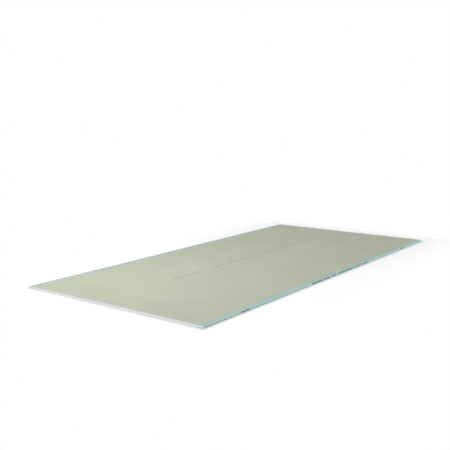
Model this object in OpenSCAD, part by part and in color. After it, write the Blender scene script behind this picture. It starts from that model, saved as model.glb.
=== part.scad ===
// Drywall sheet, moisture-resistant, with tapered long edges.
// It lies face down: X runs along the sheet, Y across it, and Z up from the face to the back.
// The origin is the middle of the flat face that it rests on.

/* [Sheet] */
// Length between the two cut ends
sheet_length = 2500; // [600:10:3600]
// Width between the two wrapped long edges
sheet_width = 1200; // [400:10:1300]
// Thickness of the flat field, both papers included
sheet_thickness = 9.5; // [8:0.5:25]

/* [Tapered long edges] */
// Width of the tapered strip along each long edge, on the face
taper_width = 50; // [40:1:80]
// How much thinner the sheet is at the end of the taper
taper_depth = 1.5; // [0.6:0.1:2.5]
// Radius of the fold between the taper and the edge
face_fold_radius = 1.2; // [0.5:0.1:2]
// Radius of the fold between the edge and the back
back_fold_radius = 0.8; // [0.4:0.1:2]

/* [Paper] */
// Thickness of one sheet of paper
paper_thickness = 0.35; // [0.2:0.05:0.6]
// Strip of wrapped face paper left bare along each long edge of the back
lap_width = 20; // [5:1:40]

/* [Hidden] */
$fn = 64;

paper_green = [0.67, 0.81, 0.79];
half_width = sheet_width / 2;
taper_angle = atan(taper_depth / taper_width);
// The wrapped strip lies one paper thickness below the back paper
lap_height = sheet_thickness - paper_thickness;
lap_start = half_width - lap_width;

// Centre of the fold that touches both the sloping taper and the upright edge
face_fold_centre = [
    half_width - face_fold_radius,
    taper_depth + face_fold_radius * (1 / cos(taper_angle) - tan(taper_angle))
];
// Centre of the fold that touches both the upright edge and the wrapped strip
back_fold_centre = [
    half_width - back_fold_radius,
    lap_height - back_fold_radius
];

// One half of the cross-section, with y across the sheet and z up.
// The straight stretches meet the two folds where they touch them.
module half_section() {
    polygon([
        [0, 0],
        [half_width - taper_width, 0],
        face_fold_centre + face_fold_radius * [sin(taper_angle), -cos(taper_angle)],
        [half_width, face_fold_centre.y],
        [half_width, back_fold_centre.y],
        [back_fold_centre.x, lap_height],
        [lap_start, lap_height],
        [lap_start, sheet_thickness],
        [0, sheet_thickness]
    ]);
    translate(face_fold_centre) circle(face_fold_radius);
    translate(back_fold_centre) circle(back_fold_radius);
}

// The whole cross-section: both wrapped edges are alike
module section() {
    half_section();
    mirror([1, 0]) half_section();
}

// The finished sheet: one section run along its length and cut square at both ends
module drywall_sheet() {
    color(paper_green)
        rotate([90, 0, 90])
            linear_extrude(sheet_length, center = true)
                section();
}

drywall_sheet();
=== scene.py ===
"""Looks of a moisture-resistant drywall sheet that lies face down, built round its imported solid.

The sheet is a gypsum core in two papers: a green face paper that wraps both long edges and laps onto
the back, and a grey-green back paper that is laid over those laps. Plain ink marks run along one long
edge and, fainter, along the back. Lengths are in metres, in the solid's own frame: X runs along the
sheet, Y across it, and Z up from the face to the back.
"""

import logging
import math
from abc import ABC, abstractmethod
from dataclasses import dataclass
from enum import Enum
from typing import Any, NamedTuple, Optional, Union

import bpy
import numpy as np
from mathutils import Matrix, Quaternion, Vector

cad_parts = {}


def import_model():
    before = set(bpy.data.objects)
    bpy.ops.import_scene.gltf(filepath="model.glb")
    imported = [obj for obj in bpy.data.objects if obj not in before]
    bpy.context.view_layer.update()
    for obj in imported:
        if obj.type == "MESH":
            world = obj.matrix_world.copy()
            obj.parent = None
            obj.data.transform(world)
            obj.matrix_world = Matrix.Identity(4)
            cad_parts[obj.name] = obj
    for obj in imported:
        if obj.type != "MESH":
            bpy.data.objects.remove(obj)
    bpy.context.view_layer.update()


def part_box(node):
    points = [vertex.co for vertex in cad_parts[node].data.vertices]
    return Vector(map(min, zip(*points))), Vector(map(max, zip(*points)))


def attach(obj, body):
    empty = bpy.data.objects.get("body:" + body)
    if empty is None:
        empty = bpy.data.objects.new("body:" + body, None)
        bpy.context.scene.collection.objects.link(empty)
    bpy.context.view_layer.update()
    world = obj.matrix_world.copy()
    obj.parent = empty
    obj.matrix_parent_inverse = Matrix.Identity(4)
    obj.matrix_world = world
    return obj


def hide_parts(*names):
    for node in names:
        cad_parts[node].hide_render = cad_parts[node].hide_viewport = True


LOG = logging.getLogger("drywall_sheet")
NODE = "drywall_sheet"
BODY = "root"
# Name of the texture map that each shelled piece carries as its own
TEXTURE_MAP = "OFBake"
SMOOTH_BELOW = math.radians(35)
ARC_POINTS = 9
EDGE_DENSITY = 4

Colour = tuple[float, float, float]
LinearColour = tuple[float, float, float, float]
Size = tuple[float, float, float]
Place = tuple[float, float, float]
Point = Union[np.ndarray, tuple[float, float]]
Profile = tuple[np.ndarray, np.ndarray]
Runs = tuple[tuple[float, float], ...]
Operand = Union["Socket", float]
Shade = Union["Socket", LinearColour]
Settings = dict[str, Any]
Inputs = dict[Union[int, str], Any]

BLACK: Colour = (0, 0, 0)
WHITE: Colour = (255, 255, 255)


class End(Enum):
    """The two cut ends of the sheet, by the sign of X."""

    NEAR = -1
    FAR = 1


class Slot(Enum):
    """Names of the pieces' material slots."""

    FACE_PAPER = "face_paper"
    BACK_PAPER = "back_paper"
    GYPSUM_CORE = "gypsum_core"
    EDGE_INK = "edge_ink"
    BACK_INK = "back_ink"


class Seed(Enum):
    """One fixed seed for each surface that has chance in it."""

    CORE_NEAR = 11
    CORE_FAR = 12
    FACE_NEAR = 21
    FACE_FAR = 22
    BACK_NEAR = 31
    BACK_FAR = 32
    LAP_RIGHT = 41
    LAP_LEFT = 42
    COCKLE = 51


class Channel(Enum):
    """The channels of a cell's random colour that scattered marks can draw lots from."""

    RED = "Red"
    GREEN = "Green"


def linear(colour: Colour) -> LinearColour:
    """Turns a display colour into the linear one that shaders take.

    Each part follows the sRGB curve: a straight line close to black, and a power of 2.4 above it.

    Args:
        colour: Red, green and blue as seen on a display, from 0 to 255.

    Returns:
        Linear red, green, blue and an alpha of 1.
    """
    parts = np.array(colour) / 255
    low = parts / 12.92
    high = ((parts + 0.055) / 1.055) ** 2.4
    return (*np.where(parts <= 0.04045, low, high).tolist(), 1.0)


def shaded(colour: Colour, share: float) -> Colour:
    """Makes a colour lighter by a share of itself, or darker where the share is negative.

    Args:
        colour: Red, green and blue from 0 to 255.
        share: Part of the colour that is added to it.

    Returns:
        The new colour, no part of it above 255.
    """
    return tuple(min(255.0, part * (1 + share)) for part in colour)


class Socket:
    """One value in a node tree. Python operators on it add Math nodes."""

    def __init__(self, shader: "Shader", socket: bpy.types.NodeSocket) -> None:
        """Keeps the tree's writer and the socket that gives the value."""
        self.shader = shader
        self.socket = socket

    def math(self, operation: str, first: Operand, second: Operand = 0.0) -> "Socket":
        """Adds a Math node.

        Args:
            operation: Blender's name of the operation.
            first: First value, a socket or a number.
            second: Second value, where the operation has one.

        Returns:
            The result.
        """
        return self.shader.node("ShaderNodeMath", {"operation": operation}, {0: first, 1: second})

    def __add__(self, other: Operand) -> "Socket":
        """self + other"""
        return self.math("ADD", self, other)

    def __radd__(self, other: float) -> "Socket":
        """other + self"""
        return self.math("ADD", other, self)

    def __sub__(self, other: Operand) -> "Socket":
        """self - other"""
        return self.math("SUBTRACT", self, other)

    def __rsub__(self, other: float) -> "Socket":
        """other - self"""
        return self.math("SUBTRACT", other, self)

    def __mul__(self, other: Operand) -> "Socket":
        """self * other"""
        return self.math("MULTIPLY", self, other)

    def __rmul__(self, other: float) -> "Socket":
        """other * self"""
        return self.math("MULTIPLY", other, self)

    def __abs__(self) -> "Socket":
        """abs(self)"""
        return self.math("ABSOLUTE", self)


@dataclass(frozen=True)
class Grain:
    """One layer of cloudy noise in a finish.

    Attributes:
        size: Size of a patch along X, Y and Z.
        weight: How strongly the layer shows.
        detail: How many finer layers are laid over it.
    """

    size: Size
    weight: float
    detail: float = 2.0

    def sway(self, noise: Socket) -> Socket:
        """Centres this layer's noise on zero and gives it its weight."""
        return (noise - 0.5) * self.weight


@dataclass(frozen=True)
class Scatter:
    """Small scattered marks in a finish, each in a cell of its own.

    Attributes:
        cell: Size of a cell along X, Y and Z.
        share: Part of the cells that have a mark.
        widest: Radius of the widest mark, in cells.
        rim: Width of a mark's soft rim, in cells.
        lots: Where a cell's lot is drawn from.
    """

    cell: Size
    share: float
    widest: float = 0.34
    rim: float = 0.1
    lots: Channel = Channel.RED


class Shader:
    """Writes the node tree of a material or a world."""

    MIX_FACTOR, MIX_FIRST, MIX_SECOND, MIX_RESULT = 0, 6, 7, 2

    def __init__(self, owner: Union[bpy.types.Material, bpy.types.World]) -> None:
        """Empties a node tree.

        Args:
            owner: The material or world whose tree it is.
        """
        owner.use_nodes = True
        self.tree = owner.node_tree
        self.tree.nodes.clear()

    def add(self, kind: str, settings: Settings, inputs: Inputs) -> bpy.types.Node:
        """Adds one node.

        Args:
            kind: The node's type.
            settings: The node's own properties, which are set first.
            inputs: Values or links of its sockets, by name or number.

        Returns:
            The node.
        """
        made = self.tree.nodes.new(kind)
        for name, value in settings.items():
            setattr(made, name, value)
        for key, value in inputs.items():
            if isinstance(value, Socket):
                self.tree.links.new(value.socket, made.inputs[key])
            else:
                made.inputs[key].default_value = value
        return made

    def node(
        self, kind: str, settings: Settings, inputs: Inputs, output: Union[int, str] = 0
    ) -> Socket:
        """Adds one node and takes one of its outputs.

        Args:
            kind: The node's type.
            settings: The node's own properties.
            inputs: Values or links of its sockets.
            output: Name or number of the output that is wanted.

        Returns:
            That output.
        """
        return Socket(self, self.add(kind, settings, inputs).outputs[output])

    def vector(self, operation: str, inputs: Inputs, output: str = "Vector") -> Socket:
        """Adds a Vector Math node."""
        return self.node("ShaderNodeVectorMath", {"operation": operation}, inputs, output)

    def place(self) -> Socket:
        """Gives the point on the surface, in metres in the sheet's own frame."""
        return self.node("ShaderNodeTexCoord", {}, {}, "Object")

    def axis(self, point: Socket, name: str) -> Socket:
        """Takes the X, Y or Z of a point."""
        return self.node("ShaderNodeSeparateXYZ", {}, {0: point}, name)

    def stretched(self, point: Socket, size: Size) -> Socket:
        """Measures a point in patches of a real size along X, Y and Z."""
        scale = tuple(1 / part for part in size)
        return self.node("ShaderNodeMapping", {}, {"Vector": point, "Scale": scale})

    def noise(self, point: Socket, grain: Grain, output: str = "Fac") -> Socket:
        """Adds cloudy noise whose patches have a real size.

        Args:
            point: Where the noise is read.
            grain: Size and detail of the noise.
            output: Fac for one number or Color for three.

        Returns:
            Noise around 0.5.
        """
        inputs = {"Vector": self.stretched(point, grain.size), "Scale": 1.0, "Detail": grain.detail}
        return self.node("ShaderNodeTexNoise", {}, inputs, output)

    def warped(self, point: Socket, bends: Grain) -> Socket:
        """Bends space, so that straight marks read at the new point come out curved.

        Args:
            point: A point in metres.
            bends: Size of one bend, with the distance that it moves the point as its weight.

        Returns:
            The moved point.
        """
        drift = self.noise(point, bends, "Color")
        return self.vector("MULTIPLY_ADD", {0: drift, 1: (bends.weight,) * 3, 2: point})

    def flecks(self, point: Socket, marks: Scatter) -> Socket:
        """Scatters small round or long marks of many sizes.

        Space is cut into cells around random points. Each cell draws a lot. The luckiest share of
        the cells have a mark around their point, wider the higher the lot. A cell's red, green and
        blue are also its point's place along X, Y and Z, so lots aren't drawn from the one that
        belongs to the axis that the surface faces: only some of the lots would lie near the surface.

        Args:
            point: Where the marks are read.
            marks: Their sizes and how many there are.

        Returns:
            1 in the heart of a mark and 0 between marks.
        """
        inputs = {"Vector": self.stretched(point, marks.cell), "Scale": 1.0}
        cells = self.add("ShaderNodeTexVoronoi", {}, inputs)
        away, tint = (Socket(self, cells.outputs[name]) for name in ("Distance", "Color"))
        lot = self.node("ShaderNodeSeparateColor", {}, {0: tint}, marks.lots.value)
        radius = (lot - (1 - marks.share)) * (marks.widest / marks.share)
        return self.rise(radius - away, 0.0, marks.rim)

    def outside(self, point: Socket, half: Vector) -> Socket:
        """Measures how far a point lies outside a block around the origin.

        What each coordinate has beyond the block's half size, if anything, is one leg of a step out
        of the block, and the distance is the length of that step.

        Args:
            point: A point in metres.
            half: Half sizes of the block along X, Y and Z.

        Returns:
            The distance, 0 inside the block.
        """
        size = self.vector("ABSOLUTE", {0: point})
        beyond = self.vector("SUBTRACT", {0: size, 1: half})
        step = self.vector("MAXIMUM", {0: beyond, 1: (0.0, 0.0, 0.0)})
        return self.vector("LENGTH", {0: step}, "Value")

    def rise(self, value: Socket, low: float, high: float) -> Socket:
        """Gives 0 below low and 1 above high, with a smooth rise between them."""
        inputs = {"Value": value, "From Min": low, "From Max": high}
        return self.node("ShaderNodeMapRange", {"interpolation_type": "SMOOTHSTEP"}, inputs)

    def mix(self, factor: Operand, first: Shade, second: Shade) -> Socket:
        """Blends two colours.

        Args:
            factor: 0 gives the first colour and 1 the second.
            first: Colour or link.
            second: Colour or link.

        Returns:
            The blended colour.
        """
        inputs = {self.MIX_FACTOR: factor, self.MIX_FIRST: first, self.MIX_SECOND: second}
        return self.node("ShaderNodeMix", {"data_type": "RGBA"}, inputs, self.MIX_RESULT)

    def toned(self, tone: Socket, colour: Colour, spread: float) -> Socket:
        """Picks a shade of a colour.

        Args:
            tone: 0 gives the darkest shade and 1 the lightest.
            colour: The middle shade.
            spread: Share by which the other two are darker and lighter.

        Returns:
            The shade.
        """
        dark, light = (linear(shaded(colour, share)) for share in (-spread, spread))
        return self.mix(tone, dark, light)

    def bump(self, height: Socket, depth: float) -> Socket:
        """Turns a height, as a share of a real depth in metres, into a normal."""
        return self.node("ShaderNodeBump", {}, {"Height": height, "Strength": 1.0, "Distance": depth})

    def principled(self, **inputs: Any) -> None:
        """Ends a material with a Principled shader, its sockets named with _ for a space."""
        named = {name.replace("_", " "): value for name, value in inputs.items()}
        self.surface(self.node("ShaderNodeBsdfPrincipled", {}, named))

    def surface(self, shader: Socket, kind: str = "ShaderNodeOutputMaterial") -> None:
        """Links a shader to the output of the tree."""
        self.add(kind, {}, {"Surface": shader})


def smooth_noise(u: np.ndarray, v: np.ndarray, seed: Seed) -> np.ndarray:
    """Value noise over two parameters.

    Random heights stand on the whole-number points of a lattice. Between them the height is blended
    along each parameter by 3t² - 2t³, where t is the share of the way to the next point.

    Args:
        u: First parameter, not negative.
        v: Second parameter, not negative, of the same shape.
        seed: Picks the random heights.

    Returns:
        Heights from 0 to 1, of the same shape.
    """
    low_u, low_v = np.floor(u).astype(int), np.floor(v).astype(int)
    part_u, part_v = u - low_u, v - low_v
    ease_u, ease_v = (part * part * (3 - 2 * part) for part in (part_u, part_v))
    heights = np.random.default_rng(seed.value).random((low_u.max() + 2, low_v.max() + 2))
    near = heights[low_u, low_v] * (1 - ease_v) + heights[low_u, low_v + 1] * ease_v
    far = heights[low_u + 1, low_v] * (1 - ease_v) + heights[low_u + 1, low_v + 1] * ease_v
    return near * (1 - ease_u) + far * ease_u


def scattered_pits(
    u: np.ndarray, v: np.ndarray, seed: Seed, narrowest: float = 0.02, spread: float = 0.5
) -> np.ndarray:
    """Round pits, one at a random place in each cell of a lattice.

    A pit's radius is the narrowest one plus the spread times the square of a random share, so most
    pits are small. Its depth falls from its heart to its rim as the square of the share of the
    radius that is left. Each point looks at the pits of the cell that it is in and of the eight
    around it.

    Args:
        u: First parameter, in cells, not negative.
        v: Second parameter, in cells, not negative, of the same shape.
        seed: Picks places and radii.
        narrowest: Smallest radius, in cells.
        spread: How much wider the widest pit is.

    Returns:
        Depths from 0 to 1, of the same shape.
    """
    cell_u, cell_v = np.floor(u).astype(int) + 1, np.floor(v).astype(int) + 1
    size = (cell_u.max() + 2, cell_v.max() + 2)
    chance = np.random.default_rng(seed.value)
    place_u, place_v = chance.random(size), chance.random(size)
    radius = spread * chance.random(size) ** 2 + narrowest
    depth = np.zeros(u.shape)
    for step_u in (-1, 0, 1):
        for step_v in (-1, 0, 1):
            i, j = cell_u + step_u, cell_v + step_v
            away = np.hypot(u + 1 - i - place_u[i, j], v + 1 - j - place_v[i, j])
            depth = np.maximum(depth, np.clip(1 - away / radius[i, j], 0, 1) ** 2)
    return depth


@dataclass(frozen=True)
class MapLayout:
    """How the sides of a shell share its texture map, so that those that show get most of it.

    Attributes:
        first: Share of the first grid.
        second: Share of the grid that faces it.
        wall: Share of each of the four walls.
        strips: Number of strips that each grid is cut into.
    """

    first: float = 1.0
    second: float = 0.1
    wall: float = 0.02
    strips: int = 1


@dataclass(frozen=True)
class Side:
    """One side of a shell, and its part of the shell's texture map.

    Attributes:
        index: Numbers of its vertices, in rows and columns.
        share: How high its part of the map is, beside those of the other sides.
        strips: Number of strips, one above another, that it is cut into on the map.
        fill: Part of a strip's height that is used, so that no two strips touch.
    """

    index: np.ndarray
    share: float
    strips: int = 1
    fill: float = 0.97

    def faces(self) -> np.ndarray:
        """Lists the cells, each as the numbers of its four corners.

        Returns:
            Four numbers for each cell.
        """
        index = self.index
        corners = (index[:-1, :-1], index[1:, :-1], index[1:, 1:], index[:-1, 1:])
        return np.stack(corners, axis=-1).reshape(-1, 4)

    def places(self) -> np.ndarray:
        """Lays the cells on a unit square, all of one size, with rows side by side.

        Each strip takes as many rows as the others and is as wide as the square.

        Returns:
            Places of the four corners of every cell.
        """
        rows, columns = (count - 1 for count in self.index.shape)
        row, column = np.indices((rows, columns)).reshape(2, -1, 1)
        length = math.ceil(rows / self.strips)
        across = (row % length + np.array((0, 1, 1, 0))) / length
        up = self.fill * (column + np.array((0, 0, 1, 1))) / columns
        return np.stack((across, (row // length + up) / self.strips), axis=-1)


def stacked_places(sides: list[Side]) -> np.ndarray:
    """Lays the sides of a shell on one texture map, one above another, each as high as its share.

    Args:
        sides: The sides, from the lowest on the map to the highest.

    Returns:
        Places of the four corners of every face, side after side.
    """
    shares = np.array([side.share for side in sides])
    heights = shares / shares.sum()
    lows = np.cumsum(heights) - heights
    return np.concatenate(
        [side.places() * (1, height) + (0, low) for side, height, low in zip(sides, heights, lows)]
    )


def signed_volume(points: np.ndarray, faces: np.ndarray) -> float:
    """Volume of a closed mesh, negative where its faces point inwards.

    Each four-sided face is two triangles, and each triangle makes a pyramid with the origin whose
    volume is a sixth of the triple product of its corners.

    Args:
        points: Vertices.
        faces: Four vertex numbers for each face.

    Returns:
        The volume in cubic metres.
    """
    triangles = points[np.concatenate((faces[:, [0, 1, 2]], faces[:, [0, 2, 3]]))]
    first, second, third = triangles[:, 0], triangles[:, 1], triangles[:, 2]
    return float(np.einsum("ij,ij->", first, np.cross(second, third)) / 6)


def make_object(
    name: str, points: np.ndarray, faces: np.ndarray, places: Optional[np.ndarray] = None
) -> bpy.types.Object:
    """Puts a closed mesh into the scene with its faces outwards.

    Args:
        name: Name of the piece.
        points: Vertices.
        faces: Four vertex numbers for each face.
        places: Places of the corners of each face on the texture map, if the piece has its own.

    Returns:
        The new object, at the origin.
    """
    turn = -1 if signed_volume(points, faces) < 0 else 1
    mesh = bpy.data.meshes.new(name)
    mesh.from_pydata(points.tolist(), [], faces[:, ::turn].tolist())
    if places is not None:
        texture_map = mesh.uv_layers.new(name=TEXTURE_MAP, do_init=False)
        texture_map.uv.foreach_set("vector", places[:, ::turn].astype(np.float32).ravel())
    mesh.shade_smooth()
    mesh.set_sharp_from_angle(angle=SMOOTH_BELOW)
    mesh.update()
    made = bpy.data.objects.new(name, mesh)
    bpy.context.scene.collection.objects.link(made)
    return made


def shell_between(
    name: str, first: np.ndarray, second: np.ndarray, layout: MapLayout
) -> bpy.types.Object:
    """Closes the space between two grids of the same shape that face each other.

    The grids are two sides of the shell. Four walls join each border of the first to the same
    border of the second.

    Args:
        name: Name of the piece.
        first: Grid of points, with rows, columns and coordinates.
        second: The facing grid.
        layout: How the sides share the texture map.

    Returns:
        The closed piece.
    """
    one = np.arange(first.shape[0] * first.shape[1]).reshape(first.shape[:2])
    two = one + one.size
    walls = ((one[0], two[0]), (two[-1], one[-1]), (two[:, 0], one[:, 0]), (one[:, -1], two[:, -1]))
    sides = [Side(one, layout.first, layout.strips), Side(two[::-1], layout.second, layout.strips)]
    sides += [Side(np.stack(wall, axis=-1), layout.wall) for wall in walls]
    points = np.concatenate((first.reshape(-1, 3), second.reshape(-1, 3)))
    faces = np.concatenate([side.faces() for side in sides])
    return make_object(name, points, faces, stacked_places(sides))


def boxes(name: str, low: np.ndarray, high: np.ndarray) -> bpy.types.Object:
    """Joins many plain blocks into one piece.

    Corner number c of a block takes the high value along X, Y and Z where bits 0, 1 and 2 of c are
    set, and the low value elsewhere.

    Args:
        name: Name of the piece.
        low: Lowest corner of each block.
        high: Highest corner of each block.

    Returns:
        The piece.
    """
    bits = (np.arange(8)[:, None] >> np.arange(3)) & 1
    points = np.where(bits[None] == 1, high[:, None], low[:, None]).reshape(-1, 3)
    sides = np.array(((0, 2, 3, 1), (4, 5, 7, 6), (0, 1, 5, 4), (2, 6, 7, 3), (0, 4, 6, 2), (1, 3, 7, 5)))
    faces = (8 * np.arange(len(low))[:, None, None] + sides).reshape(-1, 4)
    return make_object(name, points, faces)


@dataclass(frozen=True)
class SheetSection:
    """The sheet's sizes and its cross-section, which is the same all along it.

    Attributes:
        half_length: Half of the distance between the cut ends.
        half_width: Half of the distance between the wrapped long edges.
        thickness: Thickness of the flat field.
        taper_width: Width of the tapered strip along each long edge of the face.
        taper_depth: How much thinner the sheet is at the end of the taper.
        face_fold: Radius of the fold between taper and edge.
        back_fold: Radius of the fold between edge and back.
        paper: Thickness of one paper.
        lap: Strip of wrapped face paper that shows along each long edge of the back.
        hidden_lap: Strip of it that goes on under the back paper.
    """

    half_length: float
    half_width: float
    thickness: float
    taper_width: float = 0.050
    taper_depth: float = 0.0015
    face_fold: float = 0.0012
    back_fold: float = 0.0008
    paper: float = 0.00035
    lap: float = 0.020
    hidden_lap: float = 0.025

    @classmethod
    def from_frame(cls, node: str) -> "SheetSection":
        """Takes the length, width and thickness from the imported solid.

        Args:
            node: Name of the solid.

        Returns:
            The section.
        """
        low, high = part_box(node)
        size = high - low
        return cls(half_length=size.x / 2, half_width=size.y / 2, thickness=size.z)

    @property
    def lap_height(self) -> float:
        """Height of the wrapped strip, one paper below the back."""
        return self.thickness - self.paper

    @property
    def lap_start(self) -> float:
        """Distance from the middle to where the back paper ends and the wrapped strip shows."""
        return self.half_width - self.lap

    @property
    def taper_angle(self) -> float:
        """Slope of the taper."""
        return math.atan(self.taper_depth / self.taper_width)

    @staticmethod
    def stretch(start: Point, stop: Point, pitch: float) -> np.ndarray:
        """Evenly spaced points on a straight line, without its last one.

        Args:
            start: First point.
            stop: Where the line ends.
            pitch: Widest distance between points.

        Returns:
            The points.
        """
        start, stop = np.array(start, float), np.array(stop, float)
        count = max(2, math.ceil(np.linalg.norm(stop - start) / pitch))
        return start + np.linspace(0, 1, count, endpoint=False)[:, None] * (stop - start)

    @staticmethod
    def fold(centre: Point, radius: float, start: float, stop: float) -> Profile:
        """Evenly spaced points on a round fold.

        Args:
            centre: Centre of the fold.
            radius: Its radius.
            start: Angle of the first point.
            stop: Angle of the last point.

        Returns:
            Points and outward normals.
        """
        turn = np.linspace(start, stop, ARC_POINTS)
        normals = np.stack((np.cos(turn), np.sin(turn)), axis=-1)
        return np.array(centre) + radius * normals, normals

    def half_wrap(self, pitch: float) -> Profile:
        """Outside of the face paper from the middle of the face to the hidden end of the lap.

        The path is the flat face, the sloping taper, a round fold that touches taper and edge, the
        upright edge, a round fold that touches edge and lap, and the flat lap. A fold's centre lies
        one radius inside each of the two straight stretches that it touches, measured square to them.

        Args:
            pitch: Distance between points on the flat stretches.

        Returns:
            Points and outward normals, each as Y and Z.
        """
        slope = self.taper_angle
        fold_height = self.taper_depth + self.face_fold * (1 / math.cos(slope) - math.tan(slope))
        face_centre = (self.half_width - self.face_fold, fold_height)
        back_centre = (self.half_width - self.back_fold, self.lap_height - self.back_fold)
        face_arc, face_normals = self.fold(face_centre, self.face_fold, slope - math.pi / 2, 0)
        back_arc, back_normals = self.fold(back_centre, self.back_fold, 0, math.pi / 2)
        taper_start = (self.half_width - self.taper_width, 0)
        lap_end = np.array((self.lap_start - self.hidden_lap, self.lap_height))
        stretches = (
            self.stretch((0, 0), taper_start, pitch),
            self.stretch(taper_start, face_arc[0], pitch),
            face_arc[:-1],
            self.stretch(face_arc[-1], back_arc[0], pitch / EDGE_DENSITY),
            back_arc[:-1],
            self.stretch(back_arc[-1], lap_end, pitch),
            lap_end[None],
        )
        normals = (
            np.tile((0.0, -1.0), (len(stretches[0]), 1)),
            np.tile(face_normals[0], (len(stretches[1]), 1)),
            face_normals[:-1],
            np.tile((1.0, 0.0), (len(stretches[3]), 1)),
            back_normals[:-1],
            np.tile((0.0, 1.0), (len(stretches[5]) + 1, 1)),
        )
        return np.concatenate(stretches), np.concatenate(normals)

    def wrap(self, pitch: float) -> Profile:
        """The whole outside of the face paper: the half and its mirror image, from lap to lap.

        Args:
            pitch: Distance between points on the flat stretches.

        Returns:
            Points and outward normals, each as Y and Z.
        """
        points, normals = self.half_wrap(pitch)
        mirror = np.array((-1.0, 1.0))
        return (
            np.concatenate((points[:0:-1] * mirror, points)),
            np.concatenate((normals[:0:-1] * mirror, normals)),
        )


class Surface(NamedTuple):
    """What changes over a finish.

    Attributes:
        colour: Its colour.
        roughness: Its roughness.
        height: Height of its bumps, as a share of its relief.
    """

    colour: Socket
    roughness: Socket
    height: Socket


@dataclass(frozen=True, kw_only=True)
class Finish(ABC):
    """What all finishes share.

    Attributes:
        name: Name of the material.
        relief: Depth of the bumps.
        roughness: Roughness to start from.
        roughness_spread: How much the finish's own grain changes it.
        specular: Strength of the sheen.
    """

    name: str
    relief: float
    roughness: float
    roughness_spread: float
    specular: float

    @abstractmethod
    def surface(self, shader: Shader, point: Socket) -> Surface:
        """Works out what changes over the finish.

        Args:
            shader: Writer of the material's tree.
            point: The point on the surface.

        Returns:
            Colour, roughness and height there.
        """

    def material(self) -> bpy.types.Material:
        """Makes the material.

        Returns:
            The material.
        """
        made = bpy.data.materials.new(self.name)
        shader = Shader(made)
        surface = self.surface(shader, shader.place())
        shader.principled(
            Base_Color=surface.colour,
            Roughness=surface.roughness,
            Specular_IOR_Level=self.specular,
            Normal=shader.bump(surface.height, self.relief),
        )
        return made


@dataclass(frozen=True, kw_only=True)
class PaperFinish(Finish):
    """Recycled board paper: cloudy tone, streaks along the web, fibres, gypsum dust at the cuts, and a
    painted highlight on the folds.

    Attributes:
        colour: Middle shade of the paper.
        section: The sheet's sizes, which place the painted fold highlight and the dust.
        spread: Share by which shades of the paper differ from the middle one.
        clouds: Broad patches of tone.
        streaks: Long streaks that the paper machine leaves.
        fibres: Fine fibres.
        dark_hairs: Scattered dark hairs.
        pale_hairs: Scattered pale hairs.
        curls: Bends of the hairs.
        hair: How strongly the hairs show.
        fold_highlight_and_wear: How much paler the folds and upright edges are, as painted highlight with
            some rubbing.
        highlight_start: Distance from the long edge at which the painted highlight starts.
        highlight_full: Distance from the long edge at which it is full.
        dust: Colour of gypsum dust.
        dust_patches: Patches in which dust clings.
        dust_reach: Distance from a cut end at which dust starts.
        dust_overrun: Distance past a cut end at which it would be full.
        streak_relief: Part of the relief that is streaks.
    """

    colour: Colour
    section: SheetSection
    spread: float = 0.10
    clouds: Grain = Grain(size=(0.42, 0.26, 0.2), weight=0.30, detail=3.0)
    streaks: Grain = Grain(size=(0.9, 0.012, 0.012), weight=0.16)
    fibres: Grain = Grain(size=(0.0032, 0.0009, 0.0009), weight=0.42, detail=3.0)
    dark_hairs: Scatter = Scatter(cell=(0.010, 0.0013, 0.0013), share=0.5)
    pale_hairs: Scatter = Scatter(cell=(0.007, 0.0016, 0.0016), share=0.4)
    curls: Grain = Grain(size=(0.011, 0.011, 0.011), weight=0.008, detail=1.0)
    hair: float = 0.30
    fold_highlight_and_wear: float = 0.0
    highlight_start: float = 0.0016
    highlight_full: float = 0.0002
    dust: Colour = (225, 228, 229)
    dust_patches: Grain = Grain(size=(0.02, 0.03, 0.02), weight=1.0, detail=4.0)
    dust_reach: float = 0.018
    dust_overrun: float = 0.010
    relief: float = 0.00006
    streak_relief: float = 0.3
    roughness: float = 0.86
    roughness_spread: float = 0.12
    specular: float = 0.22

    def surface(self, shader: Shader, point: Socket) -> Surface:
        """Works out the paper.

        Tone is a sum of broad clouds, streaks along X, fine fibres and scattered pale and dark
        hairs, each around zero. It picks a shade of the paper's colour. Folds and upright edges are paler
        with painted highlight and some rubbing, and the last stretch before each cut end with dust.

        Args:
            shader: Writer of the material's tree.
            point: The point on the surface.

        Returns:
            Colour, roughness and height there.
        """
        grains = (self.clouds, self.streaks, self.fibres)
        clouds, streaks, fibres = (shader.noise(point, grain) for grain in grains)
        curled = shader.warped(point, self.curls)
        hairs = shader.flecks(curled, self.pale_hairs) - shader.flecks(curled, self.dark_hairs)
        tone = (
            0.5
            + self.clouds.sway(clouds)
            + self.streaks.sway(streaks)
            + self.fibres.sway(fibres)
            + hairs * self.hair
        )
        clean = shader.toned(tone, self.colour, self.spread)
        return Surface(
            colour=shader.mix(self.pale(shader, point), clean, linear(self.dust)),
            roughness=self.roughness + (fibres - 0.5) * self.roughness_spread,
            height=fibres * (1 - self.streak_relief) + streaks * self.streak_relief,
        )

    def pale(self, shader: Shader, point: Socket) -> Socket:
        """Finds where the paper is pale: on the folds and upright edges, by painted highlight with some
        rubbing, and in dusty patches close to the cut ends.

        Args:
            shader: Writer of the material's tree.
            point: The point on the surface.

        Returns:
            0 on clean paper and 1 where it is white with dust.
        """
        edge, end = self.section.half_width, self.section.half_length
        across, along = (abs(shader.axis(point, name)) for name in ("Y", "X"))
        # Painted highlight along the folds and upright edges, with some rubbing
        highlit_folds = shader.rise(across, edge - self.highlight_start, edge - self.highlight_full)
        dusty = shader.rise(along, end - self.dust_reach, end + self.dust_overrun)
        return highlit_folds * self.fold_highlight_and_wear + dusty * shader.noise(point, self.dust_patches)


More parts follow.
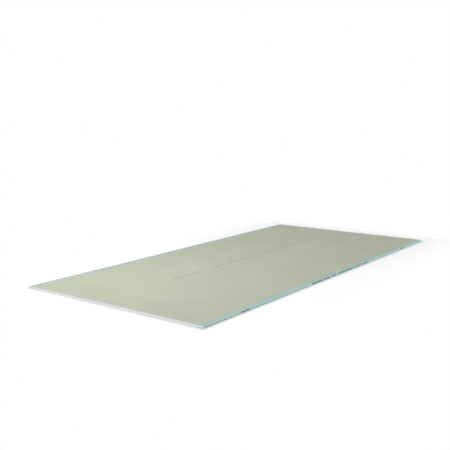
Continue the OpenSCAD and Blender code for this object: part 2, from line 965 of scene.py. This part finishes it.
@dataclass(frozen=True, kw_only=True)
class GypsumFinish(Finish):
    """Sawn gypsum: cool white with soft clouds, fine grit and open air pores.

    Attributes:
        colour: Middle shade of the gypsum.
        pore_shade: Colour in the heart of a pore, painted shade of its hollow.
        spread: Share by which shades of the gypsum differ from the middle one.
        clouds: Soft patches of tone.
        grit: Fine grain.
        pores: Large pores.
        fine_pores: Small pores.
        fine_share: How deep a small pore is beside a large one.
        grit_share: How deep the grit is beside a large pore.
    """

    name: str = "sawn_gypsum"
    colour: Colour = (227, 230, 231)
    pore_shade: Colour = (177, 181, 183)
    spread: float = 0.06
    clouds: Grain = Grain(size=(0.05, 0.05, 0.012), weight=0.6, detail=3.0)
    grit: Grain = Grain(size=(0.0009, 0.0009, 0.0009), weight=0.5)
    pores: Scatter = Scatter(cell=(0.001, 0.001, 0.001), share=0.6, rim=0.34, lots=Channel.GREEN)
    fine_pores: Scatter = Scatter(
        cell=(0.00045, 0.00045, 0.00045), share=0.8, widest=0.42, rim=0.34, lots=Channel.GREEN
    )
    fine_share: float = 0.6
    grit_share: float = 0.25
    relief: float = 0.0002
    roughness: float = 0.93
    roughness_spread: float = 0.06
    specular: float = 0.2

    def surface(self, shader: Shader, point: Socket) -> Surface:
        """Works out the gypsum.

        Clouds and grit pick a shade of its white, and scattered pores are sunk, their hearts darkened by
        painted shade.

        Args:
            shader: Writer of the material's tree.
            point: The point on the surface.

        Returns:
            Colour, roughness and height there.
        """
        clouds, grit = (shader.noise(point, grain) for grain in (self.clouds, self.grit))
        large, fine = (shader.flecks(point, marks) for marks in (self.pores, self.fine_pores))
        pores = large + fine * self.fine_share
        tone = 0.5 + self.clouds.sway(clouds) + self.grit.sway(grit)
        white = shader.toned(tone, self.colour, self.spread)
        return Surface(
            # Pores take a darker colour: painted shade in their hollows
            colour=shader.mix(pores, white, linear(self.pore_shade)),
            roughness=self.roughness - grit * self.roughness_spread,
            height=grit * self.grit_share - pores,
        )


@dataclass(frozen=True, kw_only=True)
class InkFinish(Finish):
    """Printed ink that lets the paper show through where it is thin.

    Attributes:
        ink: Colour of the ink.
        paper: Colour of the paper under it.
        thinnest: How much of the paper shows where the ink is thinnest.
        speckle: Fine speckle of the print.
        patches: Broad patches where less ink was laid.
        full_below: Noise below which the ink is full.
        thin_above: Noise above which it is thinnest.
    """

    ink: Colour
    paper: Colour
    thinnest: float
    speckle: Grain = Grain(size=(0.0012, 0.0012, 0.0012), weight=0.6, detail=3.0)
    patches: Grain = Grain(size=(0.05, 0.03, 0.02), weight=0.4)
    full_below: float = 0.48
    thin_above: float = 0.68
    relief: float = 0.00003
    roughness: float = 0.8
    roughness_spread: float = 0.1
    specular: float = 0.25

    def surface(self, shader: Shader, point: Socket) -> Surface:
        """Works out the ink: speckled noise sets how much of the paper shows through it.

        Args:
            shader: Writer of the material's tree.
            point: The point on the surface.

        Returns:
            Colour, roughness and height there.
        """
        speckle, patches = (shader.noise(point, grain) for grain in (self.speckle, self.patches))
        thin = speckle * self.speckle.weight + patches * self.patches.weight
        bare = shader.rise(thin, self.full_below, self.thin_above) * self.thinnest
        return Surface(
            colour=shader.mix(bare, linear(self.ink), linear(self.paper)),
            roughness=self.roughness + bare * self.roughness_spread,
            height=speckle,
        )


@dataclass(kw_only=True)
class Piece(ABC):
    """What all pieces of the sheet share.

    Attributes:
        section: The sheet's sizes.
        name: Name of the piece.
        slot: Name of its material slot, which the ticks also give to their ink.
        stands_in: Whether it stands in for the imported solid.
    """

    section: SheetSection
    name: str
    slot: Slot
    stands_in: bool = True

    @abstractmethod
    def build(self) -> bpy.types.Object:
        """Builds the piece's mesh."""

    @abstractmethod
    def finish(self) -> Finish:
        """Gives the piece's finish."""

    def dress(self, made: bpy.types.Object) -> None:
        """Gives the piece its finish, and lets it ride on the sheet's body.

        Args:
            made: What was built.
        """
        made.data.materials.append(self.finish().material())
        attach(made, BODY)
        if self.stands_in:
            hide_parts(NODE)


@dataclass(kw_only=True)
class GypsumCore(Piece):
    """The white core, bare at both cut ends.

    Attributes:
        cell: Distance between points across a cut end.
        layers: Number of rows of faces up a cut end.
        recess: How far the cut gypsum lies behind the papers' ends.
        roll: Depth of the broad unevenness of the cut.
        roll_size: Width and height of one roll.
        chatter: Depth of the upright lines of the cut.
        chatter_size: Width and height of one line.
        pit_depth: Depth of the deepest air pit.
        pit_cell: Size of the cells that have one pit each.
        lap_ramp: Width of the slope where the core meets the hidden end of the lap.
        layout: Its texture map, mostly for the cut ends.
    """

    name: str = "gypsum_core"
    slot: Slot = Slot.GYPSUM_CORE
    cell: float = 0.0008
    layers: int = 12
    recess: float = 0.00018
    roll: float = 0.00012
    roll_size: tuple[float, float] = (0.022, 0.006)
    chatter: float = 0.00009
    chatter_size: tuple[float, float] = (0.0019, 0.02)
    pit_depth: float = 0.00045
    pit_cell: float = 0.0034
    lap_ramp: float = 0.0002
    layout: MapLayout = MapLayout(second=1.0, wall=0.15, strips=7)

    def stations(self) -> np.ndarray:
        """Places across the core: even over the flat, and closing up towards the folded edges.

        Over a fold they go out by its radius times the sine of even steps of a quarter turn.

        Returns:
            Y from one edge of the core to the other.
        """
        edge = self.section.half_width - self.section.paper
        fold = self.section.face_fold
        even = np.arange(0, edge - fold, self.cell)
        closing = edge - fold + fold * np.sin(np.linspace(0, math.pi / 2, ARC_POINTS))
        half = np.concatenate((even, closing))
        return np.concatenate((-half[:0:-1], half))

    def heights(self, across: np.ndarray) -> tuple[np.ndarray, np.ndarray]:
        """Underside and top of the core at each place across it.

        The underside is the inside of the face paper. The top is the underside of the back paper,
        and one paper lower where the hidden lap lies on it, down to the fold.

        Args:
            across: Y of each place.

        Returns:
            Z of the underside and of the top.
        """
        outside, normals = self.section.half_wrap(self.cell)
        inside = outside - self.section.paper * normals
        upright = np.flatnonzero(np.isclose(normals[:, 0], 1))
        lower, upper = inside[: upright[0] + 1], inside[upright[-1] :][::-1]
        flat_top = (
            (0, self.section.lap_height),
            (upper[0, 0] - self.lap_ramp, self.section.lap_height),
        )
        upper = np.concatenate((flat_top, upper))
        distance = np.abs(across)
        return np.interp(distance, *lower.T), np.interp(distance, *upper.T)

    def cut(self, across: np.ndarray, share: np.ndarray, end: End) -> np.ndarray:
        """How far a cut end lies inside the sheet's length.

        A steady recess, a broad roll, upright chatter lines from the cut and round air pits are
        added up.

        Args:
            across: Y of each point.
            share: 0 at the underside and 1 at the top.
            end: Which end.

        Returns:
            Distance inwards, in metres.
        """
        seed = Seed.CORE_NEAR if end is End.NEAR else Seed.CORE_FAR
        place = across + self.section.half_width
        height = share * self.section.thickness
        broad = smooth_noise(place / self.roll_size[0], height / self.roll_size[1], seed)
        lines = smooth_noise(place / self.chatter_size[0], height / self.chatter_size[1], seed)
        pits = scattered_pits(place / self.pit_cell, height / self.pit_cell, seed)
        return self.recess + self.roll * broad + self.chatter * lines + self.pit_depth * pits

    def end_grid(self, end: End) -> np.ndarray:
        """Points of one cut end, over places across it and shares of its height.

        Args:
            end: Which end.

        Returns:
            Grid of points.
        """
        across, share = np.meshgrid(self.stations(), np.linspace(0, 1, self.layers + 1), indexing="ij")
        low, high = self.heights(across)
        along = end.value * (self.section.half_length - self.cut(across, share, end))
        return np.stack((along, across, low + share * (high - low)), axis=-1)

    def build(self) -> bpy.types.Object:
        """Joins the two cut ends by the core's long faces."""
        ends = self.end_grid(End.NEAR), self.end_grid(End.FAR)
        return shell_between(self.name, *ends, self.layout)

    def finish(self) -> GypsumFinish:
        """Gives the core its gypsum."""
        return GypsumFinish()


@dataclass(frozen=True)
class RaggedCut:
    """The two cut ends of a paper, which fall a little short of the sheet's length.

    Attributes:
        near: Seed of the near end.
        far: Seed of the far end.
        depth: The deepest that a cut goes.
        coarse: Length of a coarse tear along the cut.
        fine: Length of a fine one.
    """

    near: Seed
    far: Seed
    depth: float = 0.00022
    coarse: float = 0.014
    fine: float = 0.005

    def shortfall(self, place: np.ndarray, seed: Seed) -> np.ndarray:
        """How far one cut end falls short: coarse and fine noise along it, added two to one.

        Args:
            place: Distance along the cut, not negative.
            seed: Seed of that end.

        Returns:
            The distance at each place.
        """
        level = np.zeros_like(place)
        coarse = smooth_noise(place / self.coarse, level, seed)
        fine = smooth_noise(place / self.fine, level + 1, seed)
        return self.depth * (2 * coarse + fine) / 3

    def run(self, place: np.ndarray, half_length: float, rows: int) -> np.ndarray:
        """X of a grid whose first and last rows follow the two cut ends.

        Each column runs evenly from one end to the other.

        Args:
            place: Distance of each column along the cuts, not negative.
            half_length: Half of the sheet's length.
            rows: Number of rows.

        Returns:
            X for each row and column.
        """
        start = self.shortfall(place, self.near) - half_length
        stop = half_length - self.shortfall(place, self.far)
        return start + np.linspace(0, 1, rows)[:, None] * (stop - start)


@dataclass(kw_only=True)
class FacePaper(Piece):
    """The green paper on the face, folded round both long edges and lapped onto the back.

    Attributes:
        colour: Middle shade of the paper.
        cut: Its two cut ends.
        pitch: Distance between points on the flat stretches of its section.
        rows: Number of rows of points along the sheet.
        setback: How far the upright edges are drawn back for the ink on them.
        fold_highlight_and_wear: How much paler the folds and upright edges are, as painted highlight with
            some rubbing.
        layout: Its texture map, mostly for the outside.
    """

    name: str = "face_paper"
    slot: Slot = Slot.FACE_PAPER
    colour: Colour = (170, 205, 200)
    cut: RaggedCut = RaggedCut(near=Seed.FACE_NEAR, far=Seed.FACE_FAR)
    pitch: float = 0.006
    rows: int = 60
    setback: float = 0.00003
    # Painted highlight on the folds and edges, with some rubbing
    fold_highlight_and_wear: float = 0.06
    layout: MapLayout = MapLayout()

    def build(self) -> bpy.types.Object:
        """Carries the wrapped profile along the sheet.

        The outside is the profile, drawn back along its normals by the setback times the square of
        the normal's Y, which is 1 on the upright edges and 0 on the flats. The inside is the profile
        moved inwards by one paper along its normals.

        Returns:
            The paper.
        """
        points, normals = self.section.wrap(self.pitch)
        steps = np.linalg.norm(np.diff(points, axis=0, prepend=points[:1]), axis=1)
        along = self.cut.run(np.cumsum(steps), self.section.half_length, self.rows)
        outside = points - self.setback * normals[:, :1] ** 2 * normals
        inside = points - self.section.paper * normals
        grids = [
            np.concatenate((along[..., None], np.broadcast_to(path, (*along.shape, 2))), axis=-1)
            for path in (outside, inside)
        ]
        return shell_between(self.name, *grids, self.layout)

    def finish(self) -> PaperFinish:
        """Gives the paper its green, with a painted highlight and some rubbing on the folds."""
        looks = {"colour": self.colour, "fold_highlight_and_wear": self.fold_highlight_and_wear}
        return PaperFinish(name="green_face_paper", section=self.section, **looks)


@dataclass(kw_only=True)
class BackPaper(Piece):
    """The grey-green paper on the back, laid over both laps.

    Attributes:
        colour: Middle shade of the paper.
        cut: Its two cut ends.
        rows: Number of rows of points along the sheet.
        columns: Number of columns of points across it.
        ink_room: How far the paper lies below the sheet's full thickness, for the ink on it.
        cockle: Depth of the broad, shallow waves in the paper.
        cockle_size: Length and width of one wave.
        wander: How far the long edges stray inwards.
        wander_length: Length of one such stray.
        layout: Its texture map, mostly for the upper side.
    """

    name: str = "back_paper"
    slot: Slot = Slot.BACK_PAPER
    colour: Colour = (192, 196, 177)
    cut: RaggedCut = RaggedCut(near=Seed.BACK_NEAR, far=Seed.BACK_FAR)
    rows: int = 140
    columns: int = 240
    ink_room: float = 0.00003
    cockle: float = 0.00008
    cockle_size: tuple[float, float] = (0.31, 0.17)
    wander: float = 0.0007
    wander_length: float = 0.09
    layout: MapLayout = MapLayout()

    def build(self) -> bpy.types.Object:
        """Lays two grids one paper apart.

        Both stray a little along their long edges. The upper one lies lower by a broad, shallow
        cockle, so the paper never stands higher than the sheet is thick.

        Returns:
            The paper.
        """
        section = self.section
        share = np.linspace(-1, 1, self.columns)
        along = self.cut.run((share + 1) * section.lap_start, section.half_length, self.rows)
        run = along + section.half_length
        level = np.zeros_like(run)
        right, left = (
            self.wander * smooth_noise(run / self.wander_length, level, seed)
            for seed in (Seed.LAP_RIGHT, Seed.LAP_LEFT)
        )
        across = share * (section.lap_start - np.where(share < 0, right, left))
        wave_length, wave_width = self.cockle_size
        waves = smooth_noise(run / wave_length, (across + section.half_width) / wave_width, Seed.COCKLE)
        top = section.thickness - self.ink_room - self.cockle * waves
        upper = np.stack((along, across, top), axis=-1)
        lower = np.stack((along, across, np.full_like(along, section.lap_height)), axis=-1)
        return shell_between(self.name, upper, lower, self.layout)

    def finish(self) -> PaperFinish:
        """Gives the paper its grey-green."""
        return PaperFinish(name="grey_back_paper", colour=self.colour, section=self.section)


@dataclass(kw_only=True)
class Ticks(Piece):
    """Plain ticks of printed ink, in tally groups along the sheet.

    Attributes:
        ink: Colour of the ink.
        paper: Colour of the paper under it.
        thinnest: How much of the paper shows where the ink is thinnest.
        runs: Distances from the near end at which each run of ticks starts and stops.
        pitch: Distance from one tick to the next.
        tick: Size of a tick along X, Y and Z.
        groups: Number of ticks in each group, over and over.
        bare: Number of places that stay bare after a group.
    """

    ink: Colour
    paper: Colour
    thinnest: float
    runs: Runs
    pitch: float
    tick: Size
    groups: tuple[int, ...] = (8, 5, 11, 6)
    bare: int = 2
    stands_in: bool = False

    @abstractmethod
    def corner(self) -> tuple[float, float]:
        """Gives Y and Z of the lowest corner of every tick."""

    def starts(self) -> np.ndarray:
        """Distances from the near end at which the ticks start.

        Places stand evenly in each run. A group of them is printed and a few stay bare, and then
        comes the next group.

        Returns:
            The distances, run after run.
        """
        printed = np.concatenate([np.arange(size + self.bare) < size for size in self.groups])
        places = [np.arange(start, stop, self.pitch) for start, stop in self.runs]
        return np.concatenate([row[np.resize(printed, row.shape)] for row in places])

    def build(self) -> bpy.types.Object:
        """Sets one thin block of ink for each tick.

        Returns:
            The ticks.
        """
        along = self.starts() - self.section.half_length
        low = np.stack(np.broadcast_arrays(along, *self.corner()), axis=-1)
        return boxes(self.name, low, low + np.array(self.tick))

    def finish(self) -> InkFinish:
        """Gives the ticks their ink."""
        looks = {"ink": self.ink, "paper": self.paper, "thinnest": self.thinnest}
        return InkFinish(name=self.slot.value, **looks)


@dataclass(kw_only=True)
class EdgeMarks(Ticks):
    """Dark ticks that are printed in three groups along one long edge.

    Attributes:
        bottom: Height of their lower end.
    """

    name: str = "edge_marks"
    slot: Slot = Slot.EDGE_INK
    ink: Colour = (42, 74, 70)
    paper: Colour = (150, 186, 181)
    thinnest: float = 0.4
    runs: Runs = (
        (0.285, 0.345),
        (0.945, 1.055),
        (1.073, 1.136),
        (1.168, 1.215),
        (1.239, 1.408),
        (1.426, 1.450),
        (1.464, 1.526),
        (1.544, 1.626),
        (2.131, 2.190),
    )
    pitch: float = 0.0031
    tick: Size = (0.0025, 0.00006, 0.0055)
    bare: int = 1
    bottom: float = 0.0028

    def corner(self) -> tuple[float, float]:
        """Puts the outside of every tick on the sheet's own edge."""
        return -self.section.half_width, self.bottom


@dataclass(kw_only=True)
class BackMarks(Ticks):
    """A faint row of ticks along the back.

    Attributes:
        offset: Distance of the row from the middle of the sheet.
    """

    name: str = "back_marks"
    slot: Slot = Slot.BACK_INK
    ink: Colour = (158, 162, 145)
    paper: Colour = (190, 194, 175)
    thinnest: float = 0.8
    runs: Runs = ((0.57, 0.82), (0.93, 1.40), (1.48, 2.04))
    pitch: float = 0.0095
    tick: Size = (0.0056, 0.016, 0.00014)
    offset: float = 0.06

    def corner(self) -> tuple[float, float]:
        """Puts the top of every tick at the sheet's own back."""
        return self.offset, self.section.thickness - self.tick[2]


@dataclass(frozen=True)
class SoftBox:
    """A flat studio lamp.

    Attributes:
        name: Name of the lamp.
        place: Where it hangs.
        aim: What it faces.
        width: Its width.
        height: Its height.
        power: Its power in watts.
    """

    name: str
    place: Place
    aim: Place
    width: float
    height: float
    power: float

    def build(self) -> None:
        """Hangs the lamp so that it faces its aim, out of the camera's sight."""
        place, aim = Vector(self.place), Vector(self.aim)
        lamp = bpy.data.lights.new(self.name, "AREA")
        lamp.shape = "RECTANGLE"
        lamp.size = self.width
        lamp.size_y = self.height
        lamp.energy = self.power
        made = bpy.data.objects.new(self.name, lamp)
        made.location = place
        made.rotation_mode = "QUATERNION"
        made.rotation_quaternion = (aim - place).to_track_quat("-Z", "Y")
        made.visible_camera = False
        bpy.context.scene.collection.objects.link(made)


@dataclass
class Studio:
    """White floor and backdrop, soft lamps, and the photograph's camera.

    Attributes:
        section: The sheet's sizes, round which the floor fades.
        eye: Where the camera stands.
        heading: Its turn from X towards Y.
        pitch: Its tilt above the horizon.
        roll: Its turn about its own line of sight.
        lens_mm: Its focal length.
        sensor_mm: Width of its sensor.
        floor_size: Side of the square floor.
        floor_drop: How far the floor lies below the sheet.
        floor_colour: Colour of the floor.
        floor_lift: How much brighter the camera sees the floor than it is lit.
        contact: Distance from the sheet at which that lift is full.
        fade_start: Distance from the sheet at which the floor starts to fade to white.
        fade_stop: Distance from the sheet at which it is white.
        ambient: Strength of the light from all round.
        lamps: The soft lamps.
    """

    section: SheetSection
    eye: Place = (-3.509, -2.423, 0.936)
    heading: float = math.radians(36.99)
    pitch: float = math.radians(-9.40)
    roll: float = math.radians(-0.31)
    lens_mm: float = 55.49
    sensor_mm: float = 36.0
    floor_size: float = 80.0
    floor_drop: float = 0.0002
    floor_colour: Colour = (232, 232, 232)
    floor_lift: float = 0.34
    contact: float = 0.035
    fade_start: float = 0.01
    fade_stop: float = 0.30
    ambient: float = 0.55
    lamps: tuple[SoftBox, ...] = (
        SoftBox("key", place=(-0.9, 0.5, 1.6), aim=(-1.2, 0.8, 0.0), width=1.2, height=1.2, power=11.5),
        SoftBox("end", place=(-4.2, -0.4, 0.8), aim=(-1.25, 0.0, 0.0), width=1.8, height=1.2, power=35.0),
        SoftBox("side", place=(1.0, -3.6, 0.5), aim=(0.4, -0.6, 0.0), width=2.2, height=0.8, power=48.0),
        SoftBox("rear", place=(3.6, 2.6, 0.6), aim=(0.9, 0.4, 0.0), width=2.2, height=1.0, power=27.0),
    )

    def build(self) -> None:
        """Sets up the whole studio."""
        bpy.context.scene.view_settings.view_transform = "Standard"
        self.light_world()
        self.lay_floor()
        for lamp in self.lamps:
            lamp.build()
        self.set_camera()

    @staticmethod
    def seen(shader: Shader) -> Socket:
        """Tells rays from the camera, straight or by way of gloss and glass, from the rest.

        Args:
            shader: Writer of the tree.

        Returns:
            1 for such rays and 0 for the rest.
        """
        kinds = ("Is Camera Ray", "Is Glossy Ray", "Is Transmission Ray")
        camera, gloss, glass = (shader.node("ShaderNodeLightPath", {}, {}, kind) for kind in kinds)
        return shader.node("ShaderNodeClamp", {}, {"Value": camera + gloss + glass})

    def light_world(self) -> None:
        """Makes the world white to look at and a plain soft light on the sheet."""
        world = bpy.data.worlds.new("studio")
        shader = Shader(world)
        strength = self.ambient + (1 - self.ambient) * self.seen(shader)
        light = shader.node("ShaderNodeBackground", {}, {"Color": linear(WHITE), "Strength": strength})
        shader.surface(light, "ShaderNodeOutputWorld")
        bpy.context.scene.world = world

    def lay_floor(self) -> None:
        """Lays a pale floor that keeps the sheet's shadow and fades to white away from it."""
        half, level = self.floor_size / 2, -self.floor_drop
        corners = [(-half, -half, level), (half, -half, level), (half, half, level), (-half, half, level)]
        mesh = bpy.data.meshes.new("floor")
        mesh.from_pydata(corners, [], [(0, 1, 2, 3)])
        floor = bpy.data.objects.new("floor", mesh)
        bpy.context.scene.collection.objects.link(floor)
        mesh.materials.append(self.floor_material())

    def floor_material(self) -> bpy.types.Material:
        """Makes the floor's finish: matt white, lifted a little for the camera.

        Under the sheet and close to it the lift goes out, so the sheet's foot and the gaps under its
        tapers keep their own shade. Away from the sheet the floor fades to plain white.

        Returns:
            The floor's material.
        """
        made = bpy.data.materials.new("studio_floor")
        shader = Shader(made)
        seen = self.seen(shader)
        footprint = Vector((self.section.half_length, self.section.half_width, self.section.thickness))
        away = shader.outside(shader.place(), footprint)
        clear = shader.rise(away, 0.0, self.contact)
        lift = (self.floor_lift, self.floor_lift, self.floor_lift, 1.0)
        glow = shader.mix(clear * seen, linear(BLACK), lift)
        matt = shader.node("ShaderNodeBsdfDiffuse", {}, {"Color": linear(self.floor_colour)})
        glowing = shader.node("ShaderNodeEmission", {}, {"Color": glow})
        lit = shader.node("ShaderNodeAddShader", {}, {0: matt, 1: glowing})
        white = shader.node("ShaderNodeEmission", {}, {"Color": linear(WHITE)})
        far = shader.rise(away, self.fade_start, self.fade_stop) * seen
        shader.surface(shader.node("ShaderNodeMixShader", {}, {0: far, 1: lit, 2: white}))
        return made

    def set_camera(self) -> None:
        """Stands the camera where the photograph was taken from, turned by heading, pitch and roll."""
        lens = bpy.data.cameras.new("photo_camera")
        lens.lens = self.lens_mm
        lens.sensor_width = self.sensor_mm
        made = bpy.data.objects.new("photo_camera", lens)
        level = math.cos(self.pitch)
        ahead = Vector((level * math.cos(self.heading), level * math.sin(self.heading), math.sin(self.pitch)))
        made.location = self.eye
        made.rotation_mode = "QUATERNION"
        made.rotation_quaternion = ahead.to_track_quat("-Z", "Y") @ Quaternion((0, 0, 1), self.roll)
        bpy.context.scene.collection.objects.link(made)
        bpy.context.scene.camera = made


def main() -> None:
    """Builds the studio and then the sheet, piece by piece from the core outwards."""
    logging.basicConfig(level=logging.INFO, format="%(name)s %(message)s")
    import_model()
    section = SheetSection.from_frame(NODE)
    Studio(section).build()
    for kind in (GypsumCore, FacePaper, BackPaper, EdgeMarks, BackMarks):
        piece = kind(section=section)
        made = piece.build()
        piece.dress(made)
        faces = len(made.data.polygons)
        LOG.info("%s: %d faces, %.4f x %.4f x %.5f m", made.name, faces, *made.dimensions)


if __name__ == "__main__":
    main()
